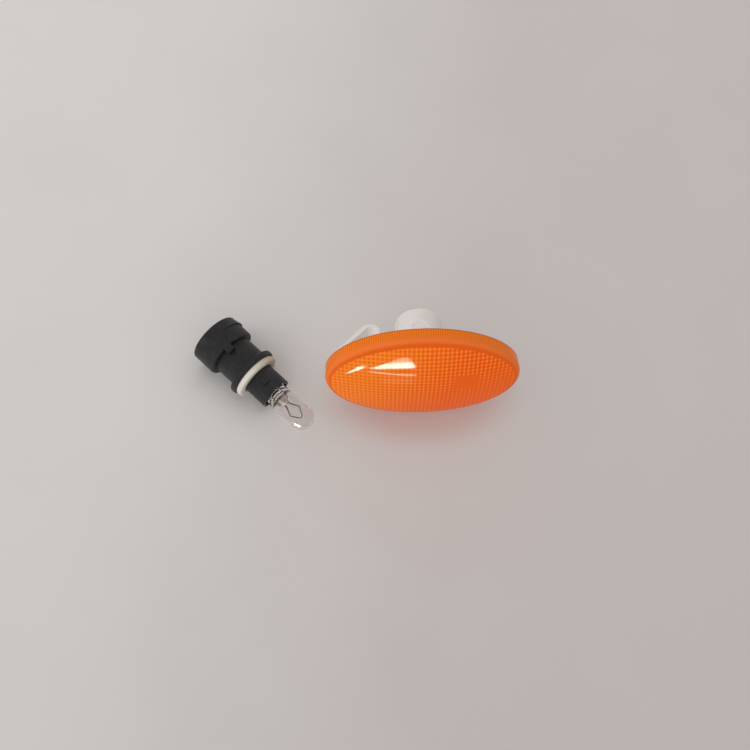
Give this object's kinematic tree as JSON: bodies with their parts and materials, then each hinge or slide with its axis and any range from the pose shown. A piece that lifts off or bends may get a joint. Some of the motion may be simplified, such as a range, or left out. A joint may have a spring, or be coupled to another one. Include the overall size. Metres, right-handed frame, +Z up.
{
  "type": "side repeater lamp",
  "caption": "Oval amber side repeater lamp for a vehicle wing, on a white clip-in housing, with its wedge bulb and holder taken out and lying beside it.",
  "frame": {"origin": "on the table, under the middle of the box round the lamp and the holder beside it", "axes": "+Z up from the table, +X along the long axis of the lens, away from the holder, -Y to the side that the lens faces"},
  "size_m": [0.133, 0.049, 0.0425],
  "materials": {
    "amber_acrylic": "clear amber moulding, polished outside",
    "white_abs": "moulded, satin",
    "black_nylon": "moulded, fine matt",
    "cream_silicone": "matt",
    "tinned_brass": "tinned, dull",
    "clear_glass": "blown and pinched",
    "nickel_wire": "drawn, dull",
    "tungsten": "coiled wire"
  },
  "bodies": {
    "root": {"lens": "amber_acrylic", "housing": "white_abs", "bulb_holder": "black_nylon", "seal_ring": "cream_silicone", "terminal_left": "tinned_brass", "terminal_right": "tinned_brass", "bulb_glass": "clear_glass", "lead_wire_left": "nickel_wire", "lead_wire_right": "nickel_wire", "filament": "tungsten"}
  },
  "joints": []
}
